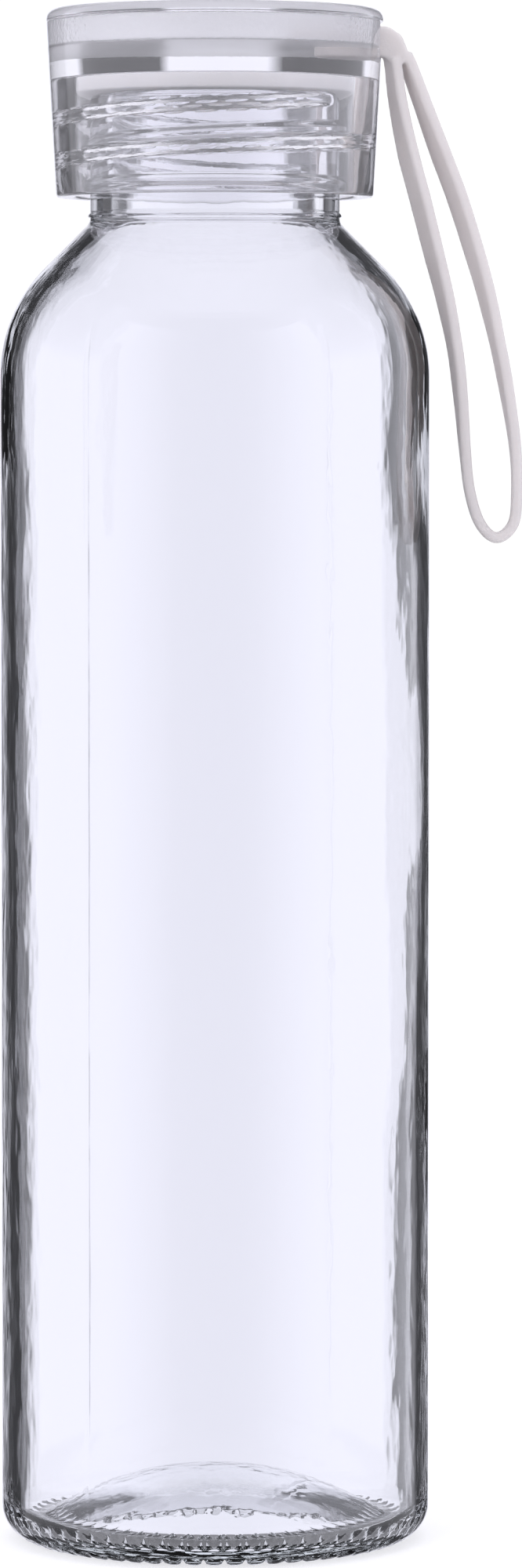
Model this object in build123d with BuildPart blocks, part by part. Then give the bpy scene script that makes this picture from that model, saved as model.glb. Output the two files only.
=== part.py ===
from build123d import *
from math import radians, sqrt, tan
import os

# Glass water bottle with a clear screw lid and a silicone carrying strap.
# Millimetres, +Z up. The origin is the middle of the ring that the bottle stands on,
# and the strap leaves the lid towards +X.

# --- Glass bottle ---
body_radius = 31.0
wall = 2.3
glass_height = 209.1
heel_radius = 5.0
shoulder_radius = 22.0
shoulder_slope = 45.0
neck_height = 18.5
neck_radius = 18.0
neck_foot_round = 1.6
bore_radius = 14.8
lip_round = 0.8

# The foot: a flat ring, a domed push-up inside it, and knurls round its outer half.
ring_inner_radius = 22.8
ring_land = 1.2
punt_height = 7.0
floor_thickness = 3.6
floor_corner = 3.0
knurl_count = 60
knurl_groove_width = 2.1
knurl_groove_depth = 1.0

# Two moulded beads round the neck: the section's radius, how far it stands out of
# the neck, and its middle's distance below the mouth.
bead_section = 0.7
bead_proud = 1.0
bead_below_mouth = 12.7
foot_bead_section = 0.5
foot_bead_proud = 0.3
foot_bead_below_mouth = 17.6

# --- Screw thread: right-handed, one helix on the glass and one in the lid ---
thread_pitch = 6.0
thread_height = 1.3
thread_root_width = 2.4
thread_tip_width = 1.2
thread_sink = 0.4
glass_thread_turns = 1.47
glass_thread_below_mouth = 1.7
glass_thread_end_angle = 186.0
lid_thread_turns = 1.47
lid_thread_clearance = 0.45
lid_thread_drop = 1.9
lid_thread_lead = 134.0

# --- Seal ---
gasket_thickness = 2.3
gasket_inner_radius = 13.6
gasket_clearance = 0.2

# --- Lid ---
skirt_below_mouth = 14.9
skirt_clearance = 0.9
skirt_edge_round = 0.5
lid_bottom_radius = 22.85
lid_top_radius = 24.35
deck_thickness = 4.3
cavity_height = 3.7
cavity_wall = 2.1
cover_thickness = 1.8
cover_round = 1.4
cover_rim_height = 0.6
cover_rim_width = 1.2
cover_clearance = 0.1

# --- Strap: a flat silicone loop, a stem that lies in the lid, and a round head ---
strap_depth = 4.0
strap_band = 1.6
knuckle_radius = 2.0
yoke_out = 1.5
yoke_drop = 1.7
knuckle_below_cover = 0.8
knuckle_out = 0.6
flex_gap = 0.3
slot_clearance = 0.3
anchor_head_radius = 4.2
anchor_head_inset = 10.8
landing_depth = 0.5

# The loop's middle line, from the yoke down the inner leg and up the outer one:
# distances outwards from the knuckle's centre and upwards from it.
strap_route = [
    (0.9, -1.9),
    (1.2, -8.2),
    (4.6, -22.4),
    (8.3, -36.8),
    (10.9, -51.0),
    (11.2, -63.0),
    (12.3, -71.2),
    (18.8, -71.2),
    (18.8, -59.0),
    (16.8, -48.6),
    (14.1, -35.6),
    (10.2, -22.4),
    (5.4, -9.8),
    (2.1, -1.9),
]

# --- Heights and radii that follow ---
slope = radians(shoulder_slope)
neck_foot_z = glass_height - neck_height
shoulder_corner_z = neck_foot_z - (body_radius - neck_radius) * tan(slope)
inner_radius = body_radius - wall
inner_corner_z = shoulder_corner_z - wall * tan(radians(90 - shoulder_slope) / 2)
inner_neck_foot_z = inner_corner_z + (inner_radius - bore_radius) * tan(slope)
dome_radius = (ring_inner_radius**2 + punt_height**2) / (2 * punt_height)
dome_center_z = punt_height - dome_radius
floor_top_z = punt_height + floor_thickness



def dome_drop(radius):
    """How far the floor's dome has fallen at a radius."""
    floor_radius = dome_radius + floor_thickness
    return floor_radius - sqrt(floor_radius**2 - radius**2)


thread_radius = neck_radius + thread_height
glass_thread_end_z = glass_height - glass_thread_below_mouth
skirt_radius = thread_radius + skirt_clearance
lid_thread_end_z = (
    glass_thread_end_z - lid_thread_drop + thread_pitch * lid_thread_lead / 360
)

lid_bottom_z = glass_height - skirt_below_mouth
deck_bottom_z = glass_height + gasket_thickness
deck_top_z = deck_bottom_z + deck_thickness
cover_bottom_z = deck_top_z + cavity_height
lid_top_z = cover_bottom_z + cover_thickness
lid_flare = (lid_top_radius - lid_bottom_radius) / (lid_top_z - lid_bottom_z)
lid_rim_radius = lid_bottom_radius + lid_flare * (cover_bottom_z - lid_bottom_z)
cavity_radius = lid_rim_radius - cavity_wall

knuckle_x = lid_rim_radius + knuckle_out
knuckle_z = cover_bottom_z - knuckle_below_cover - knuckle_radius
slot_floor_z = knuckle_z - knuckle_radius - slot_clearance
slot_width = strap_depth + 2 * slot_clearance
landing_x = lid_rim_radius - landing_depth
head_x = knuckle_x - anchor_head_inset


def thread_ridge(root, tip, turns, end_z, end_angle):
    """A helical ridge of trapezoid section whose upper end is at end_z and end_angle."""
    climb = thread_pitch * turns
    with BuildPart() as ridge:
        with BuildLine() as path:
            Helix(pitch=thread_pitch, height=climb, radius=root)
        with BuildSketch(Plane.XZ) as section:
            with BuildLine():
                Polyline(
                    (root, -thread_root_width / 2),
                    (tip, -thread_tip_width / 2),
                    (tip, thread_tip_width / 2),
                    (root, thread_root_width / 2),
                    close=True,
                )
            make_face()
        sweep(sections=section.sketch, path=path.line, is_frenet=True)
    start_angle = end_angle - 360 * turns
    return ridge.part.moved(Location((0, 0, end_z - climb), (0, 0, start_angle)))


glass_thread = thread_ridge(
    neck_radius - thread_sink,
    thread_radius,
    glass_thread_turns,
    glass_thread_end_z,
    glass_thread_end_angle,
)
lid_thread = thread_ridge(
    skirt_radius + thread_sink,
    neck_radius + lid_thread_clearance,
    lid_thread_turns,
    lid_thread_end_z,
    glass_thread_end_angle + lid_thread_lead,
)

# One knurl groove: a V laid along a radius, from the flat ring out past the heel.
with BuildPart() as groove:
    with BuildSketch(Plane.YZ.offset(ring_inner_radius + ring_land)):
        with BuildLine():
            Polyline(
                (-knurl_groove_width / 2, 0),
                (knurl_groove_width / 2, 0),
                (0, knurl_groove_depth),
                close=True,
            )
        make_face()
    extrude(amount=body_radius - ring_inner_radius)

# --- Glass bottle: outer form, hollow, push-up, lip, beads, thread, knurls ---
with BuildPart() as glass_body:
    with BuildSketch(Plane.XZ) as outer_form:
        with BuildLine():
            Polyline(
                (0, 0),
                (body_radius, 0),
                (body_radius, shoulder_corner_z),
                (neck_radius, neck_foot_z),
                (neck_radius, glass_height),
                (0, glass_height),
                close=True,
            )
        make_face()
        for corner, radius in (
            ((body_radius, 0), heel_radius),
            ((body_radius, shoulder_corner_z), shoulder_radius),
            ((neck_radius, neck_foot_z), neck_foot_round),
        ):
            fillet(outer_form.vertices().sort_by_distance(corner)[0], radius)
    revolve(axis=Axis.Z)

    with BuildSketch(Plane.XZ) as hollow_form:
        with BuildLine() as hollow_line:
            floor = RadiusArc(
                (0, floor_top_z),
                (inner_radius, floor_top_z - dome_drop(inner_radius)),
                dome_radius + floor_thickness,
            )
            Polyline(
                floor @ 1,
                (inner_radius, inner_corner_z),
                (bore_radius, inner_neck_foot_z),
                (bore_radius, glass_height),
                (0, glass_height),
                (0, floor_top_z),
            )
        make_face()
        for corner, radius in (
            (floor @ 1, floor_corner),
            ((inner_radius, inner_corner_z), shoulder_radius - wall),
        ):
            fillet(hollow_form.vertices().sort_by_distance(corner)[0], radius)
    revolve(axis=Axis.Z, mode=Mode.SUBTRACT)

    with Locations((0, 0, dome_center_z)):
        Sphere(dome_radius, mode=Mode.SUBTRACT)

    mouth_edges = glass_body.edges().filter_by(GeomType.CIRCLE).group_by(Axis.Z)[-1]
    fillet(mouth_edges, lip_round)

    for section, proud, below_mouth in (
        (bead_section, bead_proud, bead_below_mouth),
        (foot_bead_section, foot_bead_proud, foot_bead_below_mouth),
    ):
        with BuildSketch(Plane.XZ):
            with Locations((neck_radius + proud - section, glass_height - below_mouth)):
                Circle(section)
        revolve(axis=Axis.Z)

    add(glass_thread)
    half_step = 180 / knurl_count
    with PolarLocations(0, knurl_count, start_angle=half_step):
        add(groove.part, mode=Mode.SUBTRACT)
glass_body.part.label = "glass_body"

# --- Seal: a flat ring between the mouth and the lid's deck ---
with BuildPart() as gasket:
    with BuildSketch(Plane.XY.offset(glass_height)):
        Circle(skirt_radius - gasket_clearance)
        Circle(gasket_inner_radius, mode=Mode.SUBTRACT)
    extrude(amount=gasket_thickness)
gasket.part.label = "gasket"

# --- Lid shell: skirt, thread, deck, hollow under the cover, and the strap's slot ---
with BuildPart() as lid_shell:
    with BuildSketch(Plane.XZ) as lid_form:
        with BuildLine():
            Polyline(
                (skirt_radius, lid_bottom_z),
                (lid_bottom_radius, lid_bottom_z),
                (lid_rim_radius, cover_bottom_z),
                (cavity_radius, cover_bottom_z),
                (cavity_radius, deck_top_z),
                (0, deck_top_z),
                (0, deck_bottom_z),
                (skirt_radius, deck_bottom_z),
                close=True,
            )
        make_face()
        skirt_corners = lid_form.vertices().group_by(Axis.Y)[0]
        fillet(skirt_corners, skirt_edge_round)
    revolve(axis=Axis.Z)
    add(lid_thread)

    # The slot that the stem lies in, the socket for its head, and the flat landing
    # where the strap leaves the wall.
    with BuildSketch(Plane.XY.offset(slot_floor_z)):
        with Locations((head_x, 0)):
            Circle(anchor_head_radius + slot_clearance)
            Rectangle(
                lid_top_radius, slot_width, align=(Align.MIN, Align.CENTER)
            )
    extrude(amount=cover_bottom_z - slot_floor_z, mode=Mode.SUBTRACT)
    with BuildSketch(Plane.XY.offset(slot_floor_z)):
        with Locations((landing_x, 0)):
            Rectangle(
                lid_top_radius, 2 * lid_top_radius, align=(Align.MIN, Align.CENTER)
            )
    extrude(amount=cover_bottom_z - slot_floor_z, mode=Mode.SUBTRACT)
lid_shell.part.label = "lid_shell"

# --- Lid cover: a disc with a rounded edge and a rim that locates it in the shell ---
with BuildPart() as lid_cover:
    with BuildSketch(Plane.XY.offset(cover_bottom_z)):
        Circle(lid_rim_radius)
    extrude(amount=cover_thickness)
    top_edge = lid_cover.edges().filter_by(GeomType.CIRCLE).sort_by(Axis.Z)[-1]
    fillet(top_edge, cover_round)
    with BuildSketch(Plane.XY.offset(cover_bottom_z)):
        Circle(cavity_radius - cover_clearance)
        Circle(cavity_radius - cover_clearance - cover_rim_width, mode=Mode.SUBTRACT)
    extrude(amount=-cover_rim_height)
lid_cover.part.label = "lid_cover"

# --- Strap anchor: the round head and the stem, as far as the flex line ---
stem_end_x = knuckle_x - knuckle_radius - flex_gap
with BuildPart() as strap_anchor:
    with BuildSketch(Plane.XY.offset(slot_floor_z)):
        with Locations((head_x, 0)):
            Circle(anchor_head_radius)
            Rectangle(
                stem_end_x - head_x, strap_depth, align=(Align.MIN, Align.CENTER)
            )
    extrude(amount=knuckle_z + knuckle_radius - slot_floor_z)
strap_anchor.part.label = "strap_anchor"


# --- Strap loop: the knuckle at the flex line, the yoke and the two legs ---
def bend_radii(points, share=0.45):
    """The largest tangent arcs that each corner's two runs allow."""
    corners = [Vector(*point) for point in points]
    radii = []
    for before, corner, after in zip(corners, corners[1:], corners[2:]):
        run_in = corner - before
        run_out = after - corner
        half_turn = radians(run_in.get_angle(run_out)) / 2
        radii.append(share * min(run_in.length, run_out.length) / tan(half_turn))
    return radii


with BuildPart() as strap_loop:
    with BuildSketch(Plane.XZ) as band:
        route = [(knuckle_x + out, knuckle_z + up) for out, up in strap_route]
        with BuildLine() as middle_line:
            FilletPolyline(*route, radius=bend_radii(route))
        SlotArc(middle_line.wires()[0], strap_band)
        with BuildLine() as yoke_line:
            Line((knuckle_x, knuckle_z), (knuckle_x + yoke_out, knuckle_z - yoke_drop))
        SlotArc(yoke_line.wires()[0], 2 * knuckle_radius)
    extrude(amount=strap_depth / 2, both=True)
strap_loop.part.label = "strap_loop"

os.makedirs("parts", exist_ok=True)
for piece in (glass_body, gasket, lid_shell, lid_cover, strap_anchor, strap_loop):
    export_step(piece.part, f"parts/{piece.part.label}.step")
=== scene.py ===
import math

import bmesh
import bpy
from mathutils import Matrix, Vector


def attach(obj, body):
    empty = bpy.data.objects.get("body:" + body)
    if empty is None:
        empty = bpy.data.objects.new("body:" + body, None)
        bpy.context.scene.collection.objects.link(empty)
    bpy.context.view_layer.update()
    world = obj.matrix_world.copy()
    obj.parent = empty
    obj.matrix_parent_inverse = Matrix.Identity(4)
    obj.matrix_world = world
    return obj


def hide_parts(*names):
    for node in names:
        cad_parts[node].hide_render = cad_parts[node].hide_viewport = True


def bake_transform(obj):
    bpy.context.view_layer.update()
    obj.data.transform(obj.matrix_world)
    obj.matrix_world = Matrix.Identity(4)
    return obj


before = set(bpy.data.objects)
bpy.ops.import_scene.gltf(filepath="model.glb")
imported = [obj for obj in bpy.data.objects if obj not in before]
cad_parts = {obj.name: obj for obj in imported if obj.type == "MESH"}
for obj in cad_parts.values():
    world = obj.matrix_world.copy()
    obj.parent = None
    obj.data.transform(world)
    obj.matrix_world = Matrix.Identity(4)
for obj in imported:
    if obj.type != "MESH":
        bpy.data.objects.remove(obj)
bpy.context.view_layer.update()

# %% [markdown]
# # A glass water bottle with a clear screw lid and a silicone carrying loop
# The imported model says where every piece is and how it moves. This lesson gives the
# same pieces their finish: clear glass, clear moulded plastic and soft silicone.
# Clear things are all edges and light, so each piece is one closed, smooth skin with
# real thickness, and most of the work goes into curves that bend light properly.

MM = 0.001

# %% [markdown]
# ## Camera
# A long lens, about a metre away and a little above the middle, looks slightly down,
# so the foot shows as a shallow curve while the sides stay almost upright.

# %% Camera
LOOKS_DOWN = 2.983  # degrees
lens = bpy.data.cameras.new("camera")
lens.lens = 153.93
lens.sensor_width = 36.0
lens.clip_end = 100.0
camera = bpy.data.objects.new("camera", lens)
camera.location = (0.006655, -0.96966, 0.16011)
camera.rotation_euler = (math.radians(90 - LOOKS_DOWN), 0, 0)
bpy.context.scene.collection.objects.link(camera)
bpy.context.scene.camera = camera
print("camera height in mm:", round(camera.location.z / MM, 1))

# %% [markdown]
# ## Outlines
# A bottle and its lid are turned shapes. They could be revolved from a curve with a
# Screw modifier, but a written outline keeps each radius exact and lets the rows lie
# close together only where a thread or a bead needs them.

# %% Arcs, rounded corners and rows
def arc(centre, radius, start, end, steps):
    """Points of an arc from one angle to another, in degrees."""
    turns = [math.radians(start + (end - start) * i / steps) for i in range(steps + 1)]
    x, y = centre
    return [(x + radius * math.cos(t), y + radius * math.sin(t)) for t in turns]


def rounded(corners, steps=5):
    """An outline through corners of (radius, height, rounding)."""
    points = []
    for i, (x, y, rounding) in enumerate(corners):
        if rounding == 0:
            points.append((x, y))
            continue
        here = Vector((x, y))
        back = (Vector(corners[i - 1][:2]) - here).normalized()
        on = (Vector(corners[(i + 1) % len(corners)][:2]) - here).normalized()
        half = back.angle(on) / 2
        centre = here + (back + on).normalized() * rounding / math.sin(half)
        first = here + back * rounding / math.tan(half) - centre
        last = here + on * rounding / math.tan(half) - centre
        for k in range(steps + 1):
            ray = first.slerp(last, k / steps).normalized() * rounding
            points.append((centre.x + ray.x, centre.y + ray.y))
    return points


def with_rows(points, most):
    """Puts extra points on every run that is longer than most."""
    rows = [points[0]]
    for a, b in zip(points, points[1:]):
        count = max(1, math.ceil(math.dist(a, b) / most))
        rows += [(a[0] + (b[0] - a[0]) * k / count, a[1] + (b[1] - a[1]) * k / count)
                 for k in range(1, count + 1)]
    return rows


print("a 2 mm corner in", len(rounded([(0, 0, 0), (10, 0, 2), (10, 9, 0)])), "points")

# %% [markdown]
# The skin is made ring by ring. A ring on the axis is one point, which closes the
# pole. The rings of the foot have twice as many points as the rest, because the
# knurls there are narrow, and a row of triangles joins the two.

# %% Turning an outline into a skin
RING = 240  # points round a ring
SEAM = 55.0  # angle of the first mould seam; the other is opposite


def ring_angles(count):
    """Angles of a ring's points. Above the foot they gather at the two mould seams."""
    angles = []
    for step in range(0, 360, 6):
        within_step = (0.0, 1.4, 3.0, 4.6)
        if count > RING:
            within_step = (0.0, 0.7, 1.4, 2.2, 3.0, 3.8, 4.6, 5.3)
        elif abs((step - SEAM) % 180 - 179) < 0.5:
            within_step = (0.72, 1.0, 1.28, 3.6)
        angles += [math.radians(step + extra) for extra in within_step]
    return angles


def turned(name, outline, fine_rows=0, loop=False):
    """A skin turned about Z from (radius, height) points in millimetres.

    The first fine_rows rings have twice the points. A loop joins its last ring to its
    first; any other outline starts and ends on the axis.
    """
    form = bmesh.new()
    rings = []
    for i, (radius, height) in enumerate(outline):
        if radius < 1e-6:
            rings.append([form.verts.new((0, 0, height * MM))])
            continue
        count = RING * 2 if i < fine_rows else RING
        rings.append([
            form.verts.new((radius * MM * math.cos(t), radius * MM * math.sin(t), height * MM))
            for t in ring_angles(count)
        ])
    for low, high in zip(rings, rings[1:] + rings[:1] if loop else rings[1:]):
        if len(low) == len(high):
            n = len(low)
            for j in range(n):
                form.faces.new((low[j], low[(j + 1) % n], high[(j + 1) % n], high[j]))
        elif 1 in (len(low), len(high)):
            pole, rim = (low, high) if len(low) == 1 else (high, low)
            for j in range(len(rim)):
                form.faces.new((pole[0], rim[j], rim[(j + 1) % len(rim)]))
        else:
            n = len(high)
            for j in range(n):
                a, b, c = low[2 * j], low[2 * j + 1], low[(2 * j + 2) % (2 * n)]
                form.faces.new((high[j], a, b))
                form.faces.new((high[j], b, high[(j + 1) % n]))
                form.faces.new((high[(j + 1) % n], b, c))
    bmesh.ops.recalc_face_normals(form, faces=form.faces)
    skin = bpy.data.meshes.new(name)
    form.to_mesh(skin)
    form.free()
    skin.shade_smooth()
    piece = bpy.data.objects.new(name, skin)
    bpy.context.scene.collection.objects.link(piece)
    print(name, "rings:", len(outline), "faces:", len(skin.polygons))
    return piece


# %% [markdown]
# ## Shaping by rule
# Threads, knurls and the slight unevenness of pressed glass all follow a rule: how far
# the skin moves depends only on the angle and the height. Geometry Nodes are made for
# that. Each tree takes its sizes as named inputs, so one thread tree serves both the
# glass and the lid.

# %% A small set of tools for node trees
def calc(tree, kind, *values):
    """One math node, whose inputs are numbers or other nodes' outputs."""
    node = tree.nodes.new("ShaderNodeMath")
    node.operation = kind
    for i, value in enumerate(values):
        if isinstance(value, (int, float)):
            node.inputs[i].default_value = value
        else:
            tree.links.new(value, node.inputs[i])
    return node.outputs[0]


def start_tree(name, sizes):
    """A shaping tree with named sizes, and what every rule reads: angle, radius, height."""
    tree = bpy.data.node_groups.new(name, "GeometryNodeTree")
    tree.interface.new_socket("Geometry", in_out="INPUT", socket_type="NodeSocketGeometry")
    for label in sizes:
        tree.interface.new_socket(label, in_out="INPUT", socket_type="NodeSocketFloat")
    tree.interface.new_socket("Material", in_out="INPUT", socket_type="NodeSocketMaterial")
    tree.interface.new_socket("Geometry", in_out="OUTPUT", socket_type="NodeSocketGeometry")
    entry = tree.nodes.new("NodeGroupInput")
    place = tree.nodes.new("GeometryNodeInputPosition")
    parts = tree.nodes.new("ShaderNodeSeparateXYZ")
    tree.links.new(place.outputs[0], parts.inputs[0])
    x, y, height = parts.outputs
    x_square, y_square = calc(tree, "MULTIPLY", x, x), calc(tree, "MULTIPLY", y, y)
    radius = calc(tree, "SQRT", calc(tree, "ADD", x_square, y_square))
    angle = calc(tree, "ARCTAN2", y, x)
    return tree, entry.outputs, (x, y, height), radius, angle


def held(tree, value):
    """A value kept between nought and one."""
    return calc(tree, "MINIMUM", calc(tree, "MAXIMUM", value, 0.0), 1.0)


def end_tree(tree, entry, outward=None, upward=None, x=None, y=None, radius=None):
    """Moves the points outwards or upwards, then realizes and sets the material."""
    move = tree.nodes.new("GeometryNodeSetPosition")
    shift = tree.nodes.new("ShaderNodeCombineXYZ")
    if outward is not None:
        safe = calc(tree, "MAXIMUM", radius, 1e-6)  # a point on the axis has no outward way
        for slot, along in enumerate((x, y)):
            part = calc(tree, "MULTIPLY", outward, calc(tree, "DIVIDE", along, safe))
            tree.links.new(part, shift.inputs[slot])
    if upward is not None:
        tree.links.new(upward, shift.inputs[2])
    real = tree.nodes.new("GeometryNodeRealizeInstances")
    finish = tree.nodes.new("GeometryNodeSetMaterial")
    exit_node = tree.nodes.new("NodeGroupOutput")
    tree.links.new(entry["Geometry"], move.inputs["Geometry"])
    tree.links.new(shift.outputs[0], move.inputs["Offset"])
    tree.links.new(move.outputs[0], real.inputs[0])
    tree.links.new(real.outputs[0], finish.inputs["Geometry"])
    tree.links.new(entry["Material"], finish.inputs["Material"])
    tree.links.new(finish.outputs[0], exit_node.inputs[0])
    return tree


def shape_by(piece, tree, material, sizes):
    """Runs a tree on a piece and keeps the result as its plain mesh."""
    rule = piece.modifiers.new(tree.name, "NODES")
    rule.node_group = tree
    wanted = dict(sizes, Material=material)
    for socket in tree.interface.items_tree:
        if socket.in_out == "INPUT" and socket.name in wanted:
            rule[socket.identifier] = wanted[socket.name]
    bpy.context.view_layer.update()
    depsgraph = bpy.context.evaluated_depsgraph_get()
    shaped = bpy.data.meshes.new_from_object(piece.evaluated_get(depsgraph))
    piece.modifiers.remove(rule)
    piece.data = shaped
    shaped.shade_smooth()
    print(piece.name, "shaped by", tree.name, "to", len(shaped.vertices), "points")


# %% [markdown]
# A screw thread: on each turn the ridge's middle climbs by the pitch. It could be a
# swept and joined ridge, but moving the skin keeps it closed and smooth. For any point
# the tree finds the nearest turn, measures how far above or below the ridge it is, and
# lifts it by a sloping-sided profile that fades out at both ends of the thread.

# %% The thread tree
FULL_TURN = 2 * math.pi
THREAD_RUN_OUT = 22.0  # the ridge is at full height after about 1/22 of a turn
THREAD_STEP = 0.004  # of a turn: the ridge starts with this little step
THREAD_SLACK = 0.001  # of a turn: how far past the end still counts as the end


def thread_tree():
    """A helical ridge on the part of a skin that lies between two radii."""
    names = ["Pitch", "Start angle", "Start height", "Turns", "Ridge", "Root width",
             "Tip width", "Inside radius", "Outside radius"]
    tree, size, (x, y, height), radius, angle = start_tree("screw_thread", names)
    # how many turns a point is past the start, by its angle and by its height
    ahead = calc(tree, "SUBTRACT", angle, size["Start angle"])
    part = calc(tree, "DIVIDE", calc(tree, "FLOORED_MODULO", ahead, FULL_TURN), FULL_TURN)
    climbed = calc(tree, "SUBTRACT", height, size["Start height"])
    climbed = calc(tree, "DIVIDE", climbed, size["Pitch"])
    whole = calc(tree, "ROUND", calc(tree, "SUBTRACT", climbed, part))
    whole = calc(tree, "MAXIMUM", whole, 0.0)
    nearest = calc(tree, "ADD", whole, part)
    turn = calc(tree, "MINIMUM", nearest, size["Turns"])
    off = calc(tree, "MULTIPLY", calc(tree, "SUBTRACT", climbed, turn), size["Pitch"])
    off = calc(tree, "ABSOLUTE", off)
    # nothing is lifted past the last turn, and the ridge fades in and out at its ends
    past = calc(tree, "MAXIMUM", calc(tree, "SUBTRACT", nearest, size["Turns"]), 0.0)
    left = calc(tree, "MINIMUM", turn, calc(tree, "SUBTRACT", size["Turns"], turn))
    fade = calc(tree, "MULTIPLY", calc(tree, "ADD", left, THREAD_STEP), THREAD_RUN_OUT)
    fade = calc(tree, "MINIMUM", fade, 1.0)
    # the profile falls from the tip's width to the root's width
    flank = calc(tree, "SUBTRACT", size["Root width"], size["Tip width"])
    flank = calc(tree, "DIVIDE", flank, 2.0)
    rise = calc(tree, "SUBTRACT", calc(tree, "DIVIDE", size["Root width"], 2.0), off)
    rise = held(tree, calc(tree, "DIVIDE", rise, flank))
    # three r squared less two r cubed, so that the ridge's foot and crest are both rounded
    square = calc(tree, "MULTIPLY", rise, rise)
    rest = calc(tree, "SUBTRACT", 3.0, calc(tree, "MULTIPLY", rise, 2.0))
    soft = calc(tree, "MULTIPLY", square, rest)
    inside = calc(tree, "GREATER_THAN", radius, size["Inside radius"])
    outside = calc(tree, "LESS_THAN", radius, size["Outside radius"])
    here = calc(tree, "MULTIPLY", inside, outside)
    here = calc(tree, "MULTIPLY", here, calc(tree, "LESS_THAN", past, THREAD_SLACK))
    ridge = calc(tree, "MULTIPLY", here, size["Ridge"])
    lift = calc(tree, "MULTIPLY", calc(tree, "MULTIPLY", soft, fade), ridge)
    return end_tree(tree, size, outward=lift, x=x, y=y, radius=radius)


screw_thread = thread_tree()
print(screw_thread.name, "has", len(screw_thread.nodes), "nodes")

# %% [markdown]
# The foot's knurls are a row of round-bottomed teeth with sharp valleys between them,
# pressed into the ring the bottle stands on. Each tooth is part of a circle, and only
# points lower than that circle are lifted, so the heel above stays plain.

# %% The foot knurl tree
TOOTH_ROUNDNESS = 0.96  # 1 would be a half circle, with upright sides


def knurl_tree():
    """Round teeth in a ring, as deep as they are told and only where the skin is low."""
    names = ["Count", "Depth", "Start radius", "Run-in"]
    tree, size, (_, _, height), radius, angle = start_tree("foot_knurls", names)
    step = calc(tree, "DIVIDE", FULL_TURN, size["Count"])
    shifted = calc(tree, "ADD", angle, calc(tree, "DIVIDE", step, 2.0))
    within = calc(tree, "FLOORED_MODULO", shifted, step)
    # nought in the middle of a tooth and one in the valley
    off = calc(tree, "SUBTRACT", calc(tree, "DIVIDE", within, step), 0.5)
    off = calc(tree, "MULTIPLY", calc(tree, "ABSOLUTE", off), 2.0)
    flat = calc(tree, "MULTIPLY", calc(tree, "MULTIPLY", off, off), TOOTH_ROUNDNESS)
    flat = calc(tree, "MAXIMUM", calc(tree, "SUBTRACT", 1.0, flat), 0.0)
    tooth = calc(tree, "SUBTRACT", 1.0, calc(tree, "SQRT", flat))
    tooth = calc(tree, "DIVIDE", tooth, 1.0 - math.sqrt(1.0 - TOOTH_ROUNDNESS))
    entry = calc(tree, "SUBTRACT", radius, size["Start radius"])
    entry = held(tree, calc(tree, "DIVIDE", entry, size["Run-in"]))
    groove = calc(tree, "MULTIPLY", calc(tree, "MULTIPLY", tooth, size["Depth"]), entry)
    lift = calc(tree, "MAXIMUM", calc(tree, "SUBTRACT", groove, height), 0.0)
    return end_tree(tree, size, upward=lift)


foot_knurls = knurl_tree()
print(foot_knurls.name, "has", len(foot_knurls.nodes), "nodes")

# %% [markdown]
# Pressed and blown glass is never quite even inside. Slow noise moves the inner wall: a
# little all round, and more down one side, where the wall is wavy. A thin ridge outside
# marks the two lines where the halves of the mould met.

# %% The glass unevenness tree
END_FADE = 110.0  # per metre: the waves start and stop within about 9 mm
SIDE_FADE = 2.5  # how quickly the waves grow from the edge of their side
SEAM_HALF_ANGLE = 0.0047  # radians, about 0.15 mm on the body
NOISE_SEED = 3.7


def uneven_tree():
    """Waves on the inner wall and two mould seams on the outer one."""
    names = ["Amount", "Grain", "Stretch", "Below radius", "Above height", "Below height",
             "Side angle", "Side edge", "Seam angle", "Seam height"]
    tree, size, (x, y, height), radius, angle = start_tree("uneven_wall", names)
    stretch = tree.nodes.new("ShaderNodeCombineXYZ")
    tree.links.new(x, stretch.inputs[0])
    tree.links.new(y, stretch.inputs[1])
    tree.links.new(calc(tree, "MULTIPLY", height, size["Stretch"]), stretch.inputs[2])
    noise = tree.nodes.new("ShaderNodeTexNoise")
    noise.noise_dimensions = "4D"
    noise.inputs["W"].default_value = NOISE_SEED
    noise.inputs["Detail"].default_value = 1.0
    tree.links.new(stretch.outputs[0], noise.inputs["Vector"])
    tree.links.new(size["Grain"], noise.inputs["Scale"])
    wave = calc(tree, "SUBTRACT", noise.outputs[0], 0.5)
    wave = calc(tree, "MULTIPLY", wave, calc(tree, "MULTIPLY", size["Amount"], 2.0))
    low = calc(tree, "SUBTRACT", height, size["Above height"])
    high = calc(tree, "SUBTRACT", size["Below height"], height)
    low, high = calc(tree, "MULTIPLY", low, END_FADE), calc(tree, "MULTIPLY", high, END_FADE)
    ends = held(tree, calc(tree, "MINIMUM", low, high))
    ends = calc(tree, "MULTIPLY", ends, ends)
    facing = calc(tree, "COSINE", calc(tree, "SUBTRACT", angle, size["Side angle"]))
    window = calc(tree, "SUBTRACT", facing, size["Side edge"])
    window = held(tree, calc(tree, "MULTIPLY", window, SIDE_FADE))
    inner = calc(tree, "LESS_THAN", radius, size["Below radius"])
    wave = calc(tree, "MULTIPLY", wave, ends)
    wave = calc(tree, "MULTIPLY", wave, calc(tree, "MULTIPLY", inner, window))
    # the sine is nought at the seam and opposite it, so one line of nodes makes both
    off = calc(tree, "SINE", calc(tree, "SUBTRACT", angle, size["Seam angle"]))
    off = calc(tree, "DIVIDE", calc(tree, "ABSOLUTE", off), SEAM_HALF_ANGLE)
    line = calc(tree, "MAXIMUM", calc(tree, "SUBTRACT", 1.0, off), 0.0)
    outer = calc(tree, "MULTIPLY", calc(tree, "SUBTRACT", 1.0, inner), ends)
    seam = calc(tree, "MULTIPLY", calc(tree, "MULTIPLY", line, size["Seam height"]), outer)
    return end_tree(tree, size, outward=calc(tree, "ADD", wave, seam), x=x, y=y, radius=radius)


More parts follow.
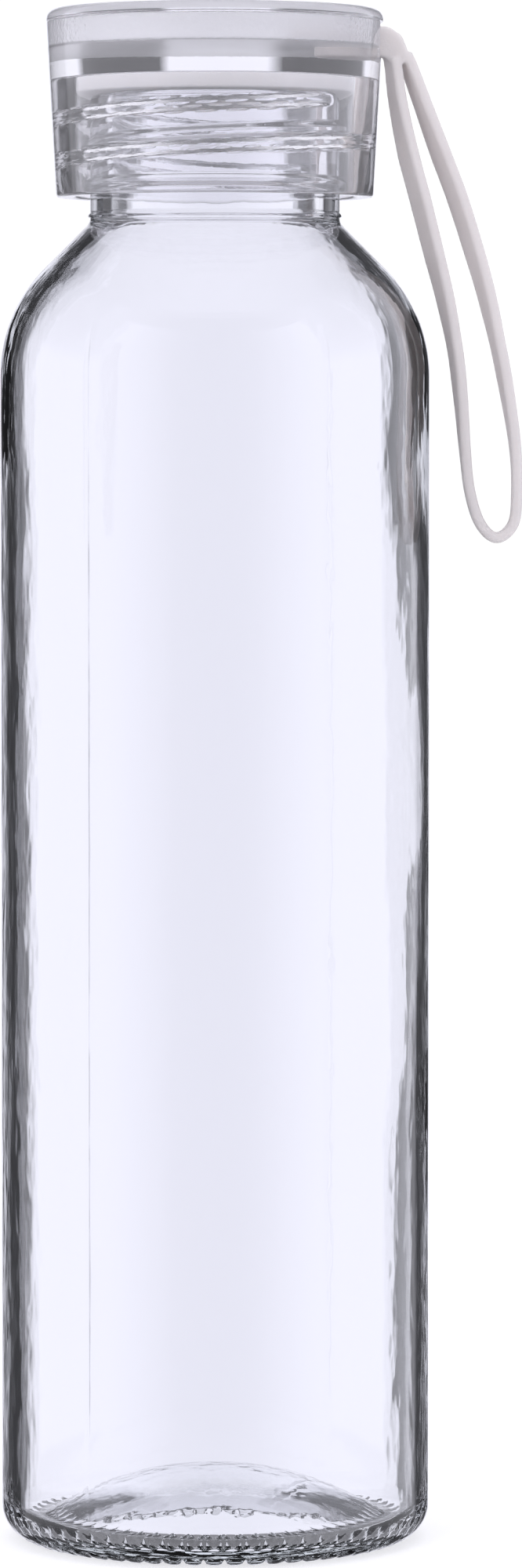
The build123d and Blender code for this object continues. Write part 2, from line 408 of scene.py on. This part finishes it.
uneven_wall = uneven_tree()
print(uneven_wall.name, "has", len(uneven_wall.nodes), "nodes")

# %% [markdown]
# ## Finishes
# Clear glass is the Principled shader with full transmission. A weak absorption in its
# volume, strongest in the reds, shows as a grey-green tint only where the glass is
# thick, at the foot. The faintest bump stands for the orange-peel of a moulded surface.

# %% Helpers for materials
def new_finish(name, **sockets):
    """A material with a Principled shader whose constants are set on its sockets."""
    finish = bpy.data.materials.new(name)
    finish.use_nodes = True
    shader = finish.node_tree.nodes["Principled BSDF"]
    for label, value in sockets.items():
        shader.inputs[label.replace("_", " ")].default_value = value
    return finish, finish.node_tree, shader


def object_noise(tree, scale, detail, stretch=(1, 1, 1), seed=0.0):
    """Noise on Object coordinates, so that it stays on the piece when the piece moves."""
    where = tree.nodes.new("ShaderNodeTexCoord")
    turn = tree.nodes.new("ShaderNodeMapping")
    turn.inputs["Scale"].default_value = stretch
    noise = tree.nodes.new("ShaderNodeTexNoise")
    noise.noise_dimensions = "4D"
    noise.inputs["W"].default_value = seed
    noise.inputs["Scale"].default_value = scale
    noise.inputs["Detail"].default_value = detail
    tree.links.new(where.outputs["Object"], turn.inputs["Vector"])
    tree.links.new(turn.outputs[0], noise.inputs["Vector"])
    return noise.outputs[0]


def add_bump(tree, shader, height, strength, distance):
    """Small relief that only tilts the light, with its distance in metres."""
    bump = tree.nodes.new("ShaderNodeBump")
    bump.inputs["Strength"].default_value = strength
    bump.inputs["Distance"].default_value = distance
    tree.links.new(height, bump.inputs["Height"])
    tree.links.new(bump.outputs[0], shader.inputs["Normal"])


print("finish helpers ready")

# %% Glass
glass, glass_tree, glass_shader = new_finish(
    "clear_bottle_glass", Base_Color=(0.985, 0.985, 1.0, 1), Roughness=0.0,
    IOR=1.5, Transmission_Weight=1.0,
)
ripple = object_noise(glass_tree, 260.0, 2.0, stretch=(1, 1, 0.35), seed=1.5)
add_bump(glass_tree, glass_shader, ripple, 0.12, 0.0004)
thick = glass_tree.nodes.new("ShaderNodeVolumeAbsorption")
thick.inputs["Color"].default_value = (0.90, 0.93, 0.935, 1)
thick.inputs["Density"].default_value = 30.0
glass_tree.links.new(thick.outputs[0], glass_tree.nodes["Material Output"].inputs["Volume"])
print(glass.name)

# %% [markdown]
# The lid is clear moulded plastic. Its hollow top has a finely grained wall, which
# scatters light, so a point attribute called grain says where the plastic is rough.
# Where there is grain, the plastic is rougher, clouds over and gets its full relief.

# %% Lid plastic
CLEAR_ROUGHNESS, GRAIN_ROUGHNESS = 0.02, 0.30
CLEARNESS, GRAIN_CLOUD = 0.96, 0.46
lid_plastic, lid_tree, lid_shader = new_finish(
    "clear_lid_plastic", Base_Color=(0.985, 0.98, 1.0, 1), Roughness=CLEAR_ROUGHNESS,
    IOR=1.49, Transmission_Weight=1.0,
)
grain = lid_tree.nodes.new("ShaderNodeAttribute")
grain.attribute_name = "grain"
grained = grain.outputs["Fac"]
speckle = object_noise(lid_tree, 1500.0, 3.0, seed=4.2)
rough = calc(lid_tree, "MULTIPLY", grained, GRAIN_ROUGHNESS)
rough = calc(lid_tree, "ADD", rough, CLEAR_ROUGHNESS)
lid_tree.links.new(rough, lid_shader.inputs["Roughness"])
clear = calc(lid_tree, "SUBTRACT", CLEARNESS, calc(lid_tree, "MULTIPLY", grained, GRAIN_CLOUD))
lid_tree.links.new(clear, lid_shader.inputs["Transmission Weight"])
relief = calc(lid_tree, "MULTIPLY", speckle, calc(lid_tree, "ADD", grained, 0.03))
add_bump(lid_tree, lid_shader, relief, 0.5, 0.0002)
print(lid_plastic.name)

# %% [markdown]
# Silicone lets a little light into itself and has a dry, soft shine. The strap is a warm
# off-white, given darker here because it stands in full light, so its colour holds painted
# shade. The seal is paler, with painted light in its colour, because it is seen only through
# the lid.

# %% Silicone
MOTTLE = 0.95  # the darker of the two shades that drift into each other


def silicone(name, colour, seed):
    """Silicone rubber of a colour, slightly mottled and with a fine dry grain."""
    finish, tree, shader = new_finish(
        name, Roughness=0.48, IOR=1.41, Subsurface_Weight=0.55,
        Subsurface_Scale=0.004, Sheen_Weight=0.12,
    )
    shader.inputs["Subsurface Radius"].default_value = (1.0, 0.92, 0.88)
    cloud = object_noise(tree, 140.0, 3.0, seed=seed)
    blend = tree.nodes.new("ShaderNodeMix")
    blend.data_type = "RGBA"
    blend.inputs[6].default_value = (*colour, 1)
    blend.inputs[7].default_value = (*[c * MOTTLE for c in colour], 1)
    tree.links.new(cloud, blend.inputs[0])
    tree.links.new(blend.outputs[2], shader.inputs["Base Color"])
    fine = object_noise(tree, 2600.0, 2.0, seed=seed + 1)
    add_bump(tree, shader, fine, 0.18, 0.0002)
    return finish


# painted shade darkens the strap's colour, and painted light makes the seal's paler
strap_silicone = silicone("strap_silicone", (0.56, 0.53, 0.53), 7.0)
seal_silicone = silicone("seal_silicone", (0.82, 0.80, 0.80), 9.0)
print(strap_silicone.name, seal_silicone.name)

# %% [markdown]
# ## The glass bottle
# One closed outline goes from the middle of the push-up, out to the ring it stands on,
# up the outside, over the lip and back down inside to the floor's dome.

# %% Outline of the glass
BODY, INNER, NECK, BORE = 31.0, 28.7, 18.0, 14.8  # radii
MOUTH, NECK_FOOT, SHOULDER_FOOT = 209.1, 190.6, 168.49  # heights
HEEL, SHOULDER = 5.0, 22.0  # roundings of the body's two ends
DOME, DOME_MIDDLE, BASE = 40.63, -33.63, 3.6  # push-up: radius, its middle, thickness
BEADS = ((196.4, 18.3, 0.7), (191.5, 17.8, 0.5))  # height, radius of the middle, section


def dome(radii, thickness=0.0):
    """Points on the push-up's dome, or on a dome that lies over it."""
    reach = DOME + thickness
    return [(r, DOME_MIDDLE + math.sqrt(reach**2 - r**2)) for r in radii]


foot = dome((0, 1.5, 3, 5, 7, 9, 11, 13, 15, 17, 18.5, 20, 21, 22, 22.5))
foot += [(22.8, 0.06)]
foot += [(r, 0.0) for r in (23.0, 23.6, 24.0, 24.2, 24.4, 25.0, 25.5)]
foot += arc((BODY - HEEL, HEEL), HEEL, 270, 306, 10)
fine_rows = len(foot)
heel = arc((BODY - HEEL, HEEL), HEEL, 309, 360, 12)
heel += [(BODY, HEEL + 3.4 * k) for k in range(1, 48)]
shoulder = arc((BODY - SHOULDER, SHOULDER_FOOT), SHOULDER, 0, 45, 18)
slope = rounded([(24.56, 184.05, 0), (NECK, NECK_FOOT, 1.6), (NECK, 195, 0)], 6)[1:-1]
slope = with_rows([shoulder[-1]] + slope, 1.0)[1:]


def beaded(height, radius):
    """The neck's radius where a moulded bead stands out of it."""
    for middle, centre, section in BEADS:
        reach = section**2 - (height - middle) ** 2
        if reach > 0:
            radius = max(radius, centre + math.sqrt(reach))
    return radius


# rows 0.2 mm apart over the beads, and 0.14 mm apart where the thread will be
neck_heights = [191.4 + 0.2 * k for k in range(30)] + [197.4 + 0.14 * k for k in range(77)]
neck = [(beaded(height, NECK), height) for height in neck_heights]
lip = rounded([(NECK, 208.2, 0), (NECK, MOUTH, 0.8), (BORE, MOUTH, 0.8), (BORE, 200, 0)], 6)
lip = lip[1:-1]
outline = foot + heel + shoulder + slope + neck + lip
print("outer rows:", len(outline))

# %% [markdown]
# Inside, the neck opens into the shoulder with a soft edge, and the floor's dome meets
# the wall in a 3 mm corner.

# %% Inside of the glass
BORE_END, WALL_TOP = (BORE, 190.55), (INNER, 176.65)
CORNER, CORNER_MIDDLE, CORNER_TOP = 3.0, (25.7, 5.99), 8.5
hollow = rounded([(BORE, 207, 0), (*BORE_END, 2.0), (*WALL_TOP, 0)], 6)[:-1]
hollow = with_rows(hollow, 2.0)
top_corner = rounded([(*BORE_END, 0), (*WALL_TOP, 19.7), (INNER, 60, 0)], 18)[1:-1]
wall = [(INNER, top_corner[-1][1] - 3.3 * k) for k in range(1, 49)]
wall = [p for p in wall if p[1] > CORNER_TOP]
corner = arc(CORNER_MIDDLE, CORNER, 0, -123, 10)
floor = dome((22.5, 21, 19, 17, 15, 13, 11, 9, 7, 5, 3, 1.5, 0), BASE)
outline += hollow + top_corner + wall + corner + floor
bottle = turned("bottle_glass", outline, fine_rows)

# %% [markdown]
# The bottle's thread starts at the right and climbs by almost a turn and a half. Its two
# limiting radii lie close round the neck, so that only the neck's outer skin is lifted.
# The waves come in three goes: slow and faint ones all round, strong ones down the
# right, and some at the left of the shoulder.

# %% Thread, knurls, seams and unevenness of the glass
PITCH, TURNS = 6.0, 1.47  # of the glass's thread and of the lid's
shape_by(bottle, screw_thread, glass, {
    "Pitch": PITCH * MM, "Start angle": math.radians(16.8), "Start height": 198.58 * MM,
    "Turns": TURNS, "Ridge": 1.3 * MM, "Root width": 2.7 * MM, "Tip width": 0.6 * MM,
    "Inside radius": 17.5 * MM, "Outside radius": 18.2 * MM,
})
shape_by(bottle, foot_knurls, glass, {
    "Count": 60.0, "Depth": 1.3 * MM, "Start radius": 20.8 * MM, "Run-in": 0.6 * MM,
})
for amount, waves, stretch, above, below, side, edge, seam in (
    (0.16, 34.0, 0.22, 9, 182, 0, -2.0, 0.065),
    (1.7, 26.0, 0.85, 58, 182, 2, 0.62, 0.0),
    (0.70, 40.0, 0.60, 150, 186, 205, 0.70, 0.0),
):
    shape_by(bottle, uneven_wall, glass, {
        "Amount": amount * MM, "Grain": waves, "Stretch": stretch,
        "Below radius": 28.95 * MM, "Above height": above * MM, "Below height": below * MM,
        "Side angle": math.radians(side), "Side edge": edge,
        "Seam angle": math.radians(SEAM), "Seam height": seam * MM,
    })
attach(bottle, "bottle")
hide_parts("glass_body")

# %% [markdown]
# ## The lid
# The shell is one moulding: a skirt with the thread inside, a solid deck over the
# mouth, and a shallow cup above the deck that the cover closes. The slot for the strap
# is cut with a Boolean, because it is the only thing here that isn't turned.

# %% Lid shell
SKIRT, CUP = 20.2, 22.15  # radii inside the skirt and inside the hollow top
SKIRT_END, DECK_LOW, DECK_HIGH, RIM = 194.2, 211.4, 215.7, 219.37  # heights
shell_corners = [
    (0, DECK_HIGH, 0), (CUP, DECK_HIGH, 0.5), (CUP, RIM, 0.12), (24.25, RIM, 0.2),
    (22.85, SKIRT_END, 0.5), (SKIRT, SKIRT_END, 0.5), (SKIRT, DECK_LOW, 0.3), (0, DECK_LOW, 0),
]
shell_line = rounded(shell_corners, 5)
shell_rows = shell_line[:1]
for low, high in zip(shell_line, shell_line[1:]):
    on_thread = max(abs(low[0] - SKIRT), abs(high[0] - SKIRT)) < 0.01
    shell_rows += with_rows([low, high], 0.2 if on_thread else 2.0)[1:]
shell = turned("lid_shell_clear", shell_rows)
shape_by(shell, screw_thread, lid_plastic, {
    "Pitch": PITCH * MM, "Start angle": math.radians(150.8), "Start height": 198.91 * MM,
    "Turns": TURNS, "Ridge": -1.35 * MM, "Root width": 2.1 * MM, "Tip width": 0.7 * MM,
    "Inside radius": 20.15 * MM, "Outside radius": 20.25 * MM,
})

# %% Slot and landing for the strap
def block(name, low, high):
    """A box between two corners, given in millimetres."""
    form = bmesh.new()
    bmesh.ops.create_cube(form, size=1)
    for v in form.verts:
        v.co = Vector([(a if c < 0 else b) * MM for c, a, b in zip(v.co, low, high)])
    data = bpy.data.meshes.new(name)
    form.to_mesh(data)
    form.free()
    made = bpy.data.objects.new(name, data)
    bpy.context.scene.collection.objects.link(made)
    return made


def cut_away(piece, tool):
    """Cuts the tool's shape out of a piece and throws the tool away."""
    knife = piece.modifiers.new("cut", "BOOLEAN")
    knife.operation = "DIFFERENCE"
    knife.solver = "EXACT"
    knife.object = tool
    bpy.context.view_layer.update()
    depsgraph = bpy.context.evaluated_depsgraph_get()
    piece.data = bpy.data.meshes.new_from_object(piece.evaluated_get(depsgraph))
    piece.modifiers.remove(knife)
    bpy.data.objects.remove(tool)


SLOT_FLOOR, SLOT_HALF, LANDING_HALF = 214.3, 2.3, 9.0
CREASE = 38  # degrees, past which an edge is drawn sharp
cut_away(shell, block("slot_tool", (21.0, -SLOT_HALF, SLOT_FLOOR), (26.0, SLOT_HALF, 221.0)))
cut_away(shell, block("landing_tool", (23.75, -LANDING_HALF, SLOT_FLOOR),
                      (26.0, LANDING_HALF, 221.0)))
shell.data.shade_smooth()
shell.data.set_sharp_from_angle(angle=math.radians(CREASE))
print("shell faces after the slot:", len(shell.data.polygons))

# %% Where the plastic is grained
def mark_grain(piece, low, high, outside):
    """Sets the grain attribute on points between two heights and inside a radius."""
    marks = piece.data.attributes.new("grain", "FLOAT", "POINT")
    for i, v in enumerate(piece.data.vertices):
        radius, height = math.hypot(v.co.x, v.co.y) / MM, v.co.z / MM
        marks.data[i].value = float(low < height < high and radius < outside)


mark_grain(shell, 215.5, 219.3, 22.3)
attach(shell, "lid")
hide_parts("lid_shell")
shell.visible_shadow = False

# %% [markdown]
# The shell and the cover cast no shadow, because a clear piece's shadow would come out
# as dark as a solid one's.
#
# The cover is a plain disc with a generously rounded edge. A thin rim under it finds
# the shell's cup, and a hair of space is left between the two, which shows as the line
# round the lid.

# %% Lid cover
UNDERSIDE, RIM_END, TOP = 219.43, 218.85, 221.2  # heights
RIM_IN, RIM_OUT, COVER_OUT = 20.85, 22.05, 24.28  # radii
cover_line = rounded([
    (0, UNDERSIDE, 0), (RIM_IN, UNDERSIDE, 0.2), (RIM_IN, RIM_END, 0.12),
    (RIM_OUT, RIM_END, 0.12), (RIM_OUT, UNDERSIDE, 0), (COVER_OUT, UNDERSIDE, 0.12),
    (COVER_OUT, TOP, 1.4), (0, TOP, 0),
], 6)
cover = turned("lid_cover_clear", with_rows(cover_line, 2.5))
cover.data.materials.append(lid_plastic)
mark_grain(cover, 218.0, 219.6, 21.9)
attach(cover, "lid")
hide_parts("lid_cover")
cover.visible_shadow = False

# %% [markdown]
# ## The seal
# A flat silicone ring, nipped between the mouth and the deck.

# %% Seal ring
SEAL_IN, SEAL_OUT, SEAL_LOW, SEAL_HIGH = 13.6, 20.0, 209.14, 211.36
seal_line = rounded([
    (SEAL_IN, SEAL_LOW, 0.25), (SEAL_OUT, SEAL_LOW, 0.3),
    (SEAL_OUT, SEAL_HIGH, 0.3), (SEAL_IN, SEAL_HIGH, 0.25),
], 4)
seal = turned("seal_ring", seal_line, loop=True)
seal.data.materials.append(seal_silicone)
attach(seal, "seal")
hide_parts("gasket")

# %% [markdown]
# ## The strap
# One silicone moulding: a round head and a stem that lie in the lid, and a long flat
# loop that leaves the stem at a soft knuckle. The loop turns a little about its length
# on the way down. A curve with a bevel could make it, but not its turning flat band, so
# the band is swept along a smooth line, down one leg and up the other. It is joined to
# the head, stem and knuckle, and remeshed so that all of it flows together.

# %% Middle line of the loop and its twist
# (distance out, height) down the inner leg, round the end and up the outer leg
loop_route = [
    (25.45, 214.4), (25.75, 212.7), (26.33, 208.0), (27.8, 200.6), (29.6, 193.8),
    (31.6, 185.9), (33.2, 179.6), (34.7, 172.0), (35.5, 165.0), (36.1, 158.0),
    (36.8, 152.0), (38.3, 147.3), (40.7, 145.2), (43.1, 147.2), (43.6, 151.5),
    (43.4, 158.0), (42.4, 165.0), (41.1, 172.0), (39.3, 180.0), (37.65, 185.9),
    (35.1, 194.0), (32.6, 200.6), (29.85, 208.0), (28.1, 212.7), (27.2, 214.9),
]
# (height, degrees that the band is turned there)
twist_marks = [
    (144, 0), (155, 0), (163, 8), (168, 14), (174, 16), (178, 23), (186, 32), (194, 36),
    (200, 36), (208, 25), (213, 21), (218, 12),
]


def between(marks, value):
    """Reads a value off a line of marks."""
    for (a, low), (b, high) in zip(marks, marks[1:]):
        if value <= b:
            return low + (high - low) * max(0.0, value - a) / (b - a)
    return marks[-1][1]


def smooth_line(points, per_run):
    """A smooth line through the points, with per_run steps between each two."""
    line = []
    for i in range(len(points) - 1):
        p0, p1 = Vector(points[max(i - 1, 0)]), Vector(points[i])
        p2, p3 = Vector(points[i + 1]), Vector(points[min(i + 2, len(points) - 1)])
        for k in range(per_run):
            t = k / per_run
            bend = (2 * p0 - 5 * p1 + 4 * p2 - p3) * t**2
            line.append(0.5 * (2 * p1 + (p2 - p0) * t + bend
                               + (3 * p1 - p0 - 3 * p2 + p3) * t**3))
    return line + [Vector(points[-1])]


loop_line = smooth_line(loop_route, 6)
loop_length = sum((b - a).length for a, b in zip(loop_line, loop_line[1:]))
print("loop length in mm:", round(loop_length, 1))

# %% Sweeping the band
BAND, DEPTH, EDGE = 1.55, 4.0, 0.5  # thickness, width and rounding of the band
NEAR = 2.5  # how many millimetres up and down the legs are looked for


def middle_x(height):
    """Half way between the two legs at a height."""
    near = [p.x for p in loop_line if abs(p.y - height) < NEAR]
    return (min(near) + max(near)) / 2


def sweep_band(form):
    """Adds the band's skin: a small rounded rectangle carried along the line."""
    section = rounded([(-BAND / 2, -DEPTH / 2, EDGE), (BAND / 2, -DEPTH / 2, EDGE),
                       (BAND / 2, DEPTH / 2, EDGE), (-BAND / 2, DEPTH / 2, EDGE)], 3)
    rings = []
    last = len(loop_line) - 1
    for i, here in enumerate(loop_line):
        ahead = (loop_line[min(i + 1, last)] - loop_line[max(i - 1, 0)]).normalized()
        turn = math.radians(between(twist_marks, here.y))
        away = Vector((math.cos(turn), math.sin(turn), 0))
        wide = Vector((-math.sin(turn), math.cos(turn), 0))
        run = Vector((ahead.x * away.x, ahead.x * away.y, ahead.y)).normalized()
        thin = run.cross(wide).normalized()
        place = Vector((here.x, (here.x - middle_x(here.y)) * math.tan(turn), here.y))
        rings.append([form.verts.new((place + thin * s + wide * w) * MM) for s, w in section])
    for low, high in zip(rings, rings[1:]):
        for j in range(len(section)):
            k = (j + 1) % len(section)
            form.faces.new((low[j], low[k], high[k], high[j]))
    form.faces.new(rings[0])
    form.faces.new(list(reversed(rings[-1])))


def add_round(form, centre, radius, depth, axis="Y", steps=40):
    """Adds a closed disc or rod lying along an axis."""
    made = bmesh.ops.create_cone(form, cap_ends=True, segments=steps, radius1=radius * MM,
                                 radius2=radius * MM, depth=depth * MM)["verts"]
    for v in made:
        x, y, z = v.co
        v.co = Vector((x, z, y) if axis == "Y" else (x, y, z)) + Vector(centre) * MM


def add_bar(form, low, high):
    """Adds a box between two corners."""
    made = bmesh.ops.create_cube(form, size=1)["verts"]
    for v in made:
        v.co = Vector([(a if c < 0 else b) * MM for c, a, b in zip(v.co, low, high)])


# %% Joining the strap into one moulding
HEAD_MIDDLE = (14.05, 0, 216.45)
STEM = ((14.05, -1.95, 214.42), (24.4, 1.95, 218.72))
# (distance out, height, radius, width) of the rods that make the knuckle and the yoke
RODS = ((24.35, 216.62, 2.1, 3.9), (25.3, 216.1, 2.0, 3.9), (25.9, 215.3, 1.75, 3.9),
        (26.4, 214.6, 1.35, 3.8))
FUSE_STEP, RELAX_ROUNDS = 0.22, 6


def loose_part(adder, *sizes, **options):
    """One part of the strap as a mesh of its own, with its faces outwards."""
    form = bmesh.new()
    adder(form, *sizes, **options)
    bmesh.ops.recalc_face_normals(form, faces=form.faces)
    data = bpy.data.meshes.new("strap_part")
    form.to_mesh(data)
    form.free()
    return data


def make_strap():
    """The whole moulding: its parts joined, fused by a fine remesh and relaxed."""
    parts = [loose_part(sweep_band)]
    parts.append(loose_part(add_round, HEAD_MIDDLE, 4.1, 4.2, axis="Z"))
    parts.append(loose_part(add_bar, *STEM))
    for out, height, radius, width in RODS:
        parts.append(loose_part(add_round, (out, 0, height), radius, width))
    form = bmesh.new()
    for data in parts:
        form.from_mesh(data)
    skin = bpy.data.meshes.new("strap_loop_soft")
    form.to_mesh(skin)
    form.free()
    piece = bpy.data.objects.new("strap_loop_soft", skin)
    bpy.context.scene.collection.objects.link(piece)
    fuse = piece.modifiers.new("fuse", "REMESH")
    fuse.mode = "VOXEL"
    fuse.voxel_size = FUSE_STEP * MM
    relax = piece.modifiers.new("relax", "SMOOTH")
    relax.factor = 0.5
    relax.iterations = RELAX_ROUNDS
    bpy.context.view_layer.update()
    depsgraph = bpy.context.evaluated_depsgraph_get()
    piece.data = bpy.data.meshes.new_from_object(piece.evaluated_get(depsgraph))
    piece.modifiers.clear()
    piece.data.shade_smooth()
    return piece


strap = make_strap()
strap.data.materials.clear()
strap.data.materials.append(strap_silicone)
print("strap faces:", len(strap.data.polygons))
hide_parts("strap_anchor", "strap_loop")
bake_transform(strap)

# %% [markdown]
# ## Studio
# Clear glass has no colour of its own: its edges are drawn by what stands beside it.
# A bright surround fills the glass with light, and dark cards left, right and in front
# draw its outline. A bright card far behind keeps the body clear when it is looked at
# from above. The cards are carried by the camera, as on a turntable, so every view is
# lit alike. They are seen only in reflections and through clear pieces. The floor and
# the lamps are the other way round: clear pieces leave them out.

# %% Floor
FLOOR_RADIUS = 1.6
FLOOR_DROP = 0.05 * MM  # a hair under the foot, so that the two never share a plane
FLOOR_NEAR, FLOOR_FAR = (0.05, 0.70), (0.8, 0.92)  # (metres out, glow)
floor_form = bmesh.new()
bmesh.ops.create_circle(floor_form, cap_ends=True, segments=96, radius=FLOOR_RADIUS)
floor_skin = bpy.data.meshes.new("studio_floor")
floor_form.to_mesh(floor_skin)
floor_form.free()
for corner in floor_skin.vertices:
    corner.co.z = -FLOOR_DROP
studio_floor = bpy.data.objects.new("studio_floor", floor_skin)
bpy.context.scene.collection.objects.link(studio_floor)
pale, pale_tree, pale_shader = new_finish(
    "pale_floor", Base_Color=(0.40, 0.40, 0.41, 1), Roughness=0.9,
    Emission_Color=(0.97, 0.97, 1.0, 1),
)
pale_shader.inputs["Specular IOR Level"].default_value = 0.0
centre_of = pale_tree.nodes.new("ShaderNodeTexCoord")
reach = pale_tree.nodes.new("ShaderNodeVectorMath")
reach.operation = "LENGTH"
pale_tree.links.new(centre_of.outputs["Object"], reach.inputs[0])
fade = pale_tree.nodes.new("ShaderNodeMapRange")
fade.interpolation_type = "SMOOTHSTEP"
fade.inputs["From Min"].default_value, fade.inputs["To Min"].default_value = FLOOR_NEAR
fade.inputs["From Max"].default_value, fade.inputs["To Max"].default_value = FLOOR_FAR
pale_tree.links.new(reach.outputs["Value"], fade.inputs["Value"])
pale_tree.links.new(fade.outputs["Result"], pale_shader.inputs["Emission Strength"])
floor_skin.materials.append(pale)
studio_floor.visible_transmission = False
studio_floor.visible_glossy = False
print("floor across, in m:", 2 * FLOOR_RADIUS)

# %% [markdown]
# The surround is a ramp by height: dim below, bright at the level of the object and a
# little dimmer above, so that the shoulder and the lid keep some shape. The camera
# itself sees plain white.

# %% Surround
BLUER = 1.09  # the surround is a shade cooler than white
world = bpy.data.worlds.new("bright_surround")
bpy.context.scene.world = world
world.use_nodes = True
sky = world.node_tree
shown = sky.nodes["Background"]
shown.inputs["Color"].default_value = (1, 1, 1, 1)
shown.inputs["Strength"].default_value = 1.05
around = sky.nodes.new("ShaderNodeBackground")
around.inputs["Strength"].default_value = 1.0
height_of = sky.nodes.new("ShaderNodeSeparateXYZ")
direction = sky.nodes.new("ShaderNodeTexCoord")
sky.links.new(direction.outputs["Generated"], height_of.inputs[0])
share = calc(sky, "ADD", calc(sky, "MULTIPLY", height_of.outputs[2], 0.5), 0.5)
steps = sky.nodes.new("ShaderNodeValToRGB")
bands = (
    (0.0, 0.18), (0.25, 0.25), (0.35, 0.50), (0.42, 0.97),
    (0.62, 0.97), (0.74, 0.84), (0.88, 0.72), (0.96, 0.80),
)
while len(steps.color_ramp.elements) < len(bands):
    steps.color_ramp.elements.new(0.5)
for mark, (position, light) in zip(steps.color_ramp.elements, bands):
    mark.position = position
    mark.color = (light, light, light * BLUER, 1)
sky.links.new(share, steps.inputs[0])
sky.links.new(steps.outputs[0], around.inputs["Color"])
path = sky.nodes.new("ShaderNodeLightPath")
pick = sky.nodes.new("ShaderNodeMixShader")
sky.links.new(path.outputs["Is Camera Ray"], pick.inputs[0])
sky.links.new(around.outputs[0], pick.inputs[1])
sky.links.new(shown.outputs[0], pick.inputs[2])
sky.links.new(pick.outputs[0], sky.nodes["World Output"].inputs["Surface"])
print("surround ready")

# %% Cards
SURROUND = (0.95, 0.95, 1.05, 1)


def card(name, marks, far=24.0, low=-1.0, high=1.0):
    """A card that follows marks of (degrees right of the view, how light it is).

    It stands far metres away and reaches from low to high, in parts of that distance.
    """
    form = bmesh.new()
    edge = []
    for degrees, _ in marks:
        x, z = far * math.sin(math.radians(degrees)), -far * math.cos(math.radians(degrees))
        edge.append([form.verts.new((x, y * far, z)) for y in (low, high)])
    for (a, b), (c, d) in zip(edge, edge[1:]):
        form.faces.new((a, c, d, b))
    data = bpy.data.meshes.new(name)
    form.to_mesh(data)
    form.free()
    light = data.attributes.new("light", "FLOAT", "POINT")
    for i, (_, value) in enumerate(marks):
        light.data[2 * i].value = light.data[2 * i + 1].value = value
    made = bpy.data.objects.new(name, data)
    bpy.context.scene.collection.objects.link(made)
    made.parent = camera
    for seen_by in ("camera", "diffuse", "shadow", "volume_scatter"):
        setattr(made, "visible_" + seen_by, False)
    felt, felt_tree, felt_shader = new_finish(
        name + "_felt", Base_Color=(0, 0, 0, 1), Roughness=1.0, Emission_Color=SURROUND,
    )
    felt_shader.inputs["Specular IOR Level"].default_value = 0.0
    shade = felt_tree.nodes.new("ShaderNodeAttribute")
    shade.attribute_name = "light"
    felt_tree.links.new(shade.outputs["Fac"], felt_shader.inputs["Emission Strength"])
    data.materials.append(felt)


card("card_left", (
    (-54, 1), (-50, 0.08), (-40, 0.05), (-30, 0.04), (-20, 0.04), (-16, 0.06), (-12, 1),
))
card("card_right", ((9.5, 1), (12, 0.08), (20, 0.05), (30, 0.05), (38, 0.08), (42, 1)))
card("card_front", (
    (105, 1), (120, 0.88), (135, 0.65), (155, 0.28), (180, 0.15),
    (205, 0.28), (225, 0.65), (240, 0.88), (255, 1),
))
card("card_behind", ((-25, 1.0), (0, 1.0), (25, 1.0)), far=30.0, low=-0.42, high=0.42)
print("cards ready")

# %% Lamps
MIDDLE = (0, 0, 0.12)  # about half way up the object


def soft_lamp(name, place, aim, size, watts):
    """A wide lamp that lights the matt pieces and isn't seen in the clear ones."""
    lamp = bpy.data.lights.new(name, "AREA")
    lamp.shape = "RECTANGLE"
    lamp.size, lamp.size_y = size
    lamp.energy = watts
    holder = bpy.data.objects.new(name, lamp)
    holder.location = place
    holder.rotation_euler = (Vector(aim) - Vector(place)).to_track_quat("-Z", "Y").to_euler()
    bpy.context.scene.collection.objects.link(holder)
    holder.visible_glossy = holder.visible_transmission = False


soft_lamp("lamp_top", (0, 0, 1.6), (0, 0, 0), (1.6, 1.6), 9)
soft_lamp("lamp_left", (-0.7, -1.5, 0.7), MIDDLE, (0.5, 1.2), 9)
soft_lamp("lamp_right", (1.5, -0.5, 0.7), MIDDLE, (0.5, 1.2), 1.0)
# light has to get through many clear walls before it comes out again
look = bpy.context.scene
look.view_settings.view_transform = "Standard"
look.view_settings.look = "None"
look.cycles.max_bounces = 28
look.cycles.transmission_bounces = 28
look.cycles.glossy_bounces = 8
look.cycles.diffuse_bounces = 4
look.cycles.use_denoising = True
print("lamps ready")
